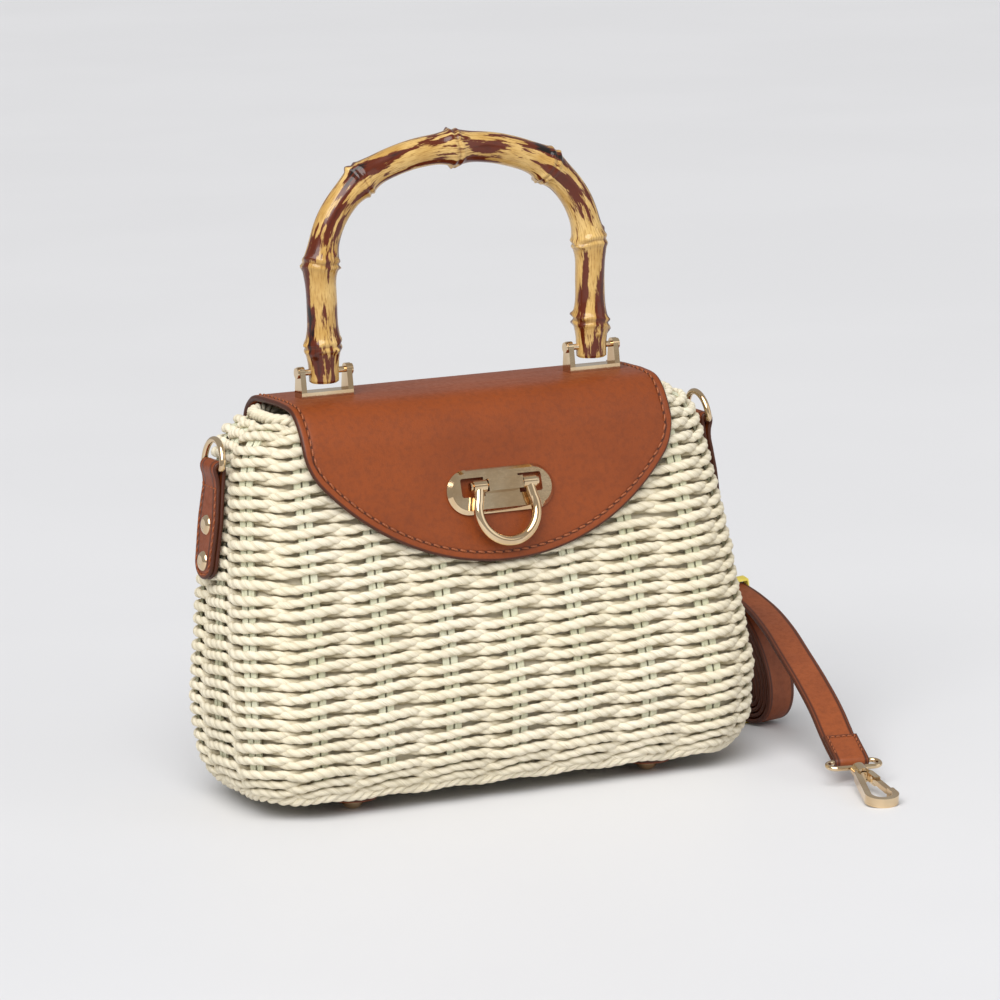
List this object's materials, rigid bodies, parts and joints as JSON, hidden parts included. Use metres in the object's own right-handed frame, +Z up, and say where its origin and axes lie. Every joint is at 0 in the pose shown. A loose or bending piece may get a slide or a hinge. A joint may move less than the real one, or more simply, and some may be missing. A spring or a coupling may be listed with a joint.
{
  "type": "basket box bag",
  "caption": "Small hand-woven basket bag with a tan leather flap, gilt clasp, arched cane handle, strap tabs with rings, and a rolled leather strap lying beside it.",
  "frame": {"origin": "on the floor under the middle of the basket's base", "axes": "+Z up, the front with the flap and clasp faces -Y, +X to the right seen from the front"},
  "size_m": [0.2609, 0.31, 0.254],
  "materials": {
    "weave": "matte twisted paper cord, hand-woven, with slight variation from row to row",
    "lining": "plain beige cotton",
    "leather": "smooth fine-grained tan leather, low sheen, darker painted edges, stitched",
    "strap_leather": "smooth tan leather strip with dark brown edges, stitched",
    "gilt": "polished pale gold plating",
    "steel": "plain zinc-plated steel",
    "cane": "glossy varnished cane with red-brown streaks, dark at the joints",
    "elastic": "matte yellow"
  },
  "bodies": {
    "basket": {"basket_body": "weave", "lining": "lining", "foot_washers": "leather", "foot_studs": "gilt", "foot_nuts": "steel", "flap_back": "leather", "flap_rivets": "gilt", "snap_keeper": "steel", "tab_left": "leather", "tab_right": "leather", "tab_rivets_left": "gilt", "tab_rivets_right": "gilt", "strap": "strap_leather", "strap_band": "elastic"},
    "lid": {"flap": "leather", "bracket_left": "gilt", "bracket_right": "gilt", "bracket_plate_left": "steel", "bracket_plate_right": "steel", "bracket_screws": "steel", "handle_pin_left": "gilt", "handle_pin_right": "gilt", "clasp_plate": "gilt", "clasp_pin": "gilt", "clasp_backing": "steel", "snap_magnet": "steel"},
    "handle": {"handle": "cane"},
    "clasp_ring": {"clasp_ring": "gilt"},
    "ring_left": {"ring_left": "gilt"},
    "ring_right": {"ring_right": "gilt"},
    "strap_loop_front": {"strap_loop_front": "gilt"},
    "hook_front": {"hook_front": "gilt"},
    "hook_gate_front": {"hook_gate_front": "gilt"},
    "strap_loop_back": {"strap_loop_back": "gilt"},
    "hook_back": {"hook_back": "gilt"},
    "hook_gate_back": {"hook_gate_back": "gilt"}
  },
  "joints": [
    {"name": "flap_lift", "type": "hinge", "parent": "basket", "child": "lid", "pos_m": [0, 0.03926, 0.1395], "axis": [-1, 0, 0], "range_deg": [0, 95]},
    {"name": "handle_swing", "type": "hinge", "parent": "lid", "child": "handle", "pos_m": [0, 0.007, 0.1648], "axis": [1, 0, 0], "range_deg": [-85, 85]},
    {"name": "clasp_ring_swing", "type": "hinge", "parent": "lid", "child": "clasp_ring", "pos_m": [0, -0.03148, 0.12131], "axis": [-1, 0, 0], "range_deg": [0, 150]},
    {"name": "ring_left_swing", "type": "hinge", "parent": "basket", "child": "ring_left", "pos_m": [-0.10391, 0.007, 0.1322], "axis": [0, -1, 0], "range_deg": [0, 150]},
    {"name": "ring_right_swing", "type": "hinge", "parent": "basket", "child": "ring_right", "pos_m": [0.10391, 0.007, 0.1322], "axis": [0, 1, 0], "range_deg": [0, 150]},
    {"name": "strap_loop_front_hinge", "type": "hinge", "parent": "basket", "child": "strap_loop_front", "pos_m": [0.1207, -0.0845, 0.0086], "axis": [-0.9826, 0.1857, 0.005], "range_deg": [0, 60]},
    {"name": "hook_front_swivel", "type": "hinge", "parent": "strap_loop_front", "child": "hook_front", "pos_m": [0.11849, -0.09615, 0.00674], "axis": [-0.1843, -0.9706, -0.1547], "continuous": true},
    {"name": "hook_gate_front_hinge", "type": "hinge", "parent": "hook_front", "child": "hook_gate_front", "pos_m": [0.12004, -0.10489, 0.00543], "axis": [0.0239, 0.1529, -0.988], "range_deg": [0, 20], "stiffness_Nm_per_rad": 0.004, "springref_deg": -11.46},
    {"name": "strap_loop_back_hinge", "type": "hinge", "parent": "basket", "child": "strap_loop_back", "pos_m": [0.1121, 0.1395, 0.0086], "axis": [0.9708, 0.24, 0.0011], "range_deg": [0, 60]},
    {"name": "hook_back_swivel", "type": "hinge", "parent": "strap_loop_back", "child": "hook_back", "pos_m": [0.10926, 0.15101, 0.00674], "axis": [-0.237, 0.9591, -0.1547], "continuous": true},
    {"name": "hook_gate_back_hinge", "type": "hinge", "parent": "hook_back", "child": "hook_gate_back", "pos_m": [0.11033, 0.15982, 0.00545], "axis": [-0.0382, 0.1499, 0.988], "range_deg": [0, 20], "stiffness_Nm_per_rad": 0.004, "springref_deg": -11.46}
  ]
}
